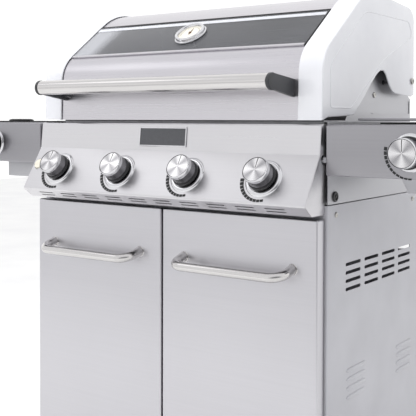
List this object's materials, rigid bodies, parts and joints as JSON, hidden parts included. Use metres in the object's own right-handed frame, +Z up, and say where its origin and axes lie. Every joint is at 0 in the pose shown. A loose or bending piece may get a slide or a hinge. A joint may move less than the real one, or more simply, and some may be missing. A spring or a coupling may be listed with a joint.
{
  "type": "gas barbecue grill",
  "caption": "Cart gas grill with a windowed hinged lid, burner knobs on a sloped panel, two side shelves with burners, cabinet doors and casters.",
  "frame": {"origin": "on the ground under the middle of the grill", "axes": "+Z up, -Y is the front with the doors, +X is the user's right"},
  "size_m": [1.37, 0.5662, 1.1649],
  "materials": {
    "brushed_steel": "brushed along its length",
    "plain_steel": "mill, satin",
    "painted_steel": "satin grey powder coat",
    "white_enamel": "gloss enamel",
    "chrome": "polished",
    "valve_aluminium": "cast, satin",
    "cast_iron": "matt enamel",
    "tinted_glass": "tinted, polished",
    "black_nylon": "fine texture",
    "cream_button": "moulded, gloss",
    "needle_paint": "satin",
    "tyre": "solid rubber"
  },
  "bodies": {
    "cart": {"base_panel": "painted_steel", "left_side_panel": "painted_steel", "right_side_panel": "painted_steel", "rear_panel": "painted_steel", "header_rail": "painted_steel", "firebox": "plain_steel", "control_panel": "brushed_steel", "gas_manifold": "valve_aluminium", "burner_1": "plain_steel", "burner_2": "plain_steel", "burner_3": "plain_steel", "burner_4": "plain_steel", "flame_tamer_1": "plain_steel", "flame_tamer_2": "plain_steel", "flame_tamer_3": "plain_steel", "flame_tamer_4": "plain_steel", "cooking_grate_left": "cast_iron", "cooking_grate_right": "cast_iron", "warming_rack": "plain_steel", "left_hinge_bolt": "chrome", "right_hinge_bolt": "chrome", "left_shelf": "brushed_steel", "right_shelf": "brushed_steel", "pot_burner": "plain_steel", "pot_support": "cast_iron", "sear_burner": "plain_steel", "sear_grate": "cast_iron"},
    "lid": {"lid_shell": "brushed_steel", "lid_left_cap": "white_enamel", "lid_right_cap": "white_enamel", "lid_window": "tinted_glass", "thermometer": "chrome", "lid_handle_tube": "brushed_steel", "left_handle_bracket": "black_nylon", "right_handle_bracket": "black_nylon"},
    "needle": {"thermometer_needle": "needle_paint"},
    "left_door": {"left_door": "brushed_steel", "left_door_handle": "brushed_steel"},
    "right_door": {"right_door": "brushed_steel", "right_door_handle": "brushed_steel"},
    "knob_1": {"burner_knob_1": "chrome"},
    "knob_2": {"burner_knob_2": "chrome"},
    "knob_3": {"burner_knob_3": "chrome"},
    "knob_4": {"burner_knob_4": "chrome"},
    "side_knob": {"side_burner_knob": "chrome"},
    "sear_knob": {"sear_burner_knob": "chrome"},
    "button": {"light_button": "cream_button"},
    "tray": {"grease_tray": "plain_steel", "grease_cup": "plain_steel"},
    "sear_cover": {"sear_lid": "brushed_steel"},
    "caster_1": {"caster_fork_1": "chrome"},
    "wheel_1": {"caster_wheel_1": "tyre"},
    "caster_2": {"caster_fork_2": "chrome"},
    "wheel_2": {"caster_wheel_2": "tyre"},
    "caster_3": {"caster_fork_3": "chrome"},
    "wheel_3": {"caster_wheel_3": "tyre"},
    "caster_4": {"caster_fork_4": "chrome"},
    "wheel_4": {"caster_wheel_4": "tyre"},
    "brake_1": {"brake_pedal_1": "black_nylon"},
    "brake_2": {"brake_pedal_2": "black_nylon"}
  },
  "joints": [
    {"name": "lid_hinge", "type": "hinge", "parent": "cart", "child": "lid", "pos_m": [0, 0.2204, 0.9932], "axis": [-1, 0, 0], "range_deg": [0, 85]},
    {"name": "thermometer_turn", "type": "hinge", "parent": "lid", "child": "needle", "pos_m": [0, -0.11144, 1.08492], "axis": [0, -0.6033, 0.7975], "range_deg": [-120, 120], "stiffness_Nm_per_rad": 0.002},
    {"name": "left_door_hinge", "type": "hinge", "parent": "cart", "child": "left_door", "pos_m": [-0.35, -0.201, 0.4], "axis": [0, 0, -1], "range_deg": [0, 110]},
    {"name": "right_door_hinge", "type": "hinge", "parent": "cart", "child": "right_door", "pos_m": [0.35, -0.201, 0.4], "axis": [0, 0, 1], "range_deg": [0, 110]},
    {"name": "knob_1_turn", "type": "hinge", "parent": "cart", "child": "knob_1", "pos_m": [-0.2735, -0.23251, 0.79874], "axis": [0, -0.8564, 0.5163], "range_deg": [0, 195]},
    {"name": "knob_2_turn", "type": "hinge", "parent": "cart", "child": "knob_2", "pos_m": [-0.0965, -0.23251, 0.79874], "axis": [0, -0.8564, 0.5163], "range_deg": [0, 195]},
    {"name": "knob_3_turn", "type": "hinge", "parent": "cart", "child": "knob_3", "pos_m": [0.0805, -0.23251, 0.79874], "axis": [0, -0.8564, 0.5163], "range_deg": [0, 195]},
    {"name": "knob_4_turn", "type": "hinge", "parent": "cart", "child": "knob_4", "pos_m": [0.2575, -0.23251, 0.79874], "axis": [0, -0.8564, 0.5163], "range_deg": [0, 195]},
    {"name": "side_knob_turn", "type": "hinge", "parent": "cart", "child": "side_knob", "pos_m": [-0.528, -0.2, 0.852], "axis": [0, -1, 0], "range_deg": [0, 195]},
    {"name": "sear_knob_turn", "type": "hinge", "parent": "cart", "child": "sear_knob", "pos_m": [0.528, -0.2, 0.852], "axis": [0, -1, 0], "range_deg": [0, 195]},
    {"name": "button_push", "type": "slide", "parent": "cart", "child": "button", "axis": [0, 0.8564, -0.5163], "range_m": [0, 0.003], "stiffness_N_per_m": 300},
    {"name": "tray_slide", "type": "slide", "parent": "cart", "child": "tray", "axis": [0, 1, 0], "range_m": [0, 0.33]},
    {"name": "sear_cover_hinge", "type": "hinge", "parent": "cart", "child": "sear_cover", "pos_m": [0.53, 0.179, 0.909], "axis": [-1, 0, 0], "range_deg": [0, 95]},
    {"name": "caster_1_swivel", "type": "hinge", "parent": "cart", "child": "caster_1", "pos_m": [-0.31, -0.135, 0.08], "axis": [0, 0, 1], "continuous": true},
    {"name": "wheel_1_spin", "type": "hinge", "parent": "caster_1", "child": "wheel_1", "pos_m": [-0.31, -0.115, 0.034], "axis": [1, 0, 0], "continuous": true},
    {"name": "brake_1_press", "type": "hinge", "parent": "caster_1", "child": "brake_1", "pos_m": [-0.31, -0.088, 0.0645], "axis": [-1, 0, 0], "range_deg": [0, 12]},
    {"name": "caster_2_swivel", "type": "hinge", "parent": "cart", "child": "caster_2", "pos_m": [0.31, -0.135, 0.08], "axis": [0, 0, 1], "continuous": true},
    {"name": "wheel_2_spin", "type": "hinge", "parent": "caster_2", "child": "wheel_2", "pos_m": [0.31, -0.115, 0.034], "axis": [1, 0, 0], "continuous": true},
    {"name": "brake_2_press", "type": "hinge", "parent": "caster_2", "child": "brake_2", "pos_m": [0.31, -0.088, 0.0645], "axis": [-1, 0, 0], "range_deg": [0, 12]},
    {"name": "caster_3_swivel", "type": "hinge", "parent": "cart", "child": "caster_3", "pos_m": [-0.31, 0.205, 0.08], "axis": [0, 0, 1], "continuous": true},
    {"name": "wheel_3_spin", "type": "hinge", "parent": "caster_3", "child": "wheel_3", "pos_m": [-0.31, 0.225, 0.034], "axis": [1, 0, 0], "continuous": true},
    {"name": "caster_4_swivel", "type": "hinge", "parent": "cart", "child": "caster_4", "pos_m": [0.31, 0.205, 0.08], "axis": [0, 0, 1], "continuous": true},
    {"name": "wheel_4_spin", "type": "hinge", "parent": "caster_4", "child": "wheel_4", "pos_m": [0.31, 0.225, 0.034], "axis": [1, 0, 0], "continuous": true}
  ]
}
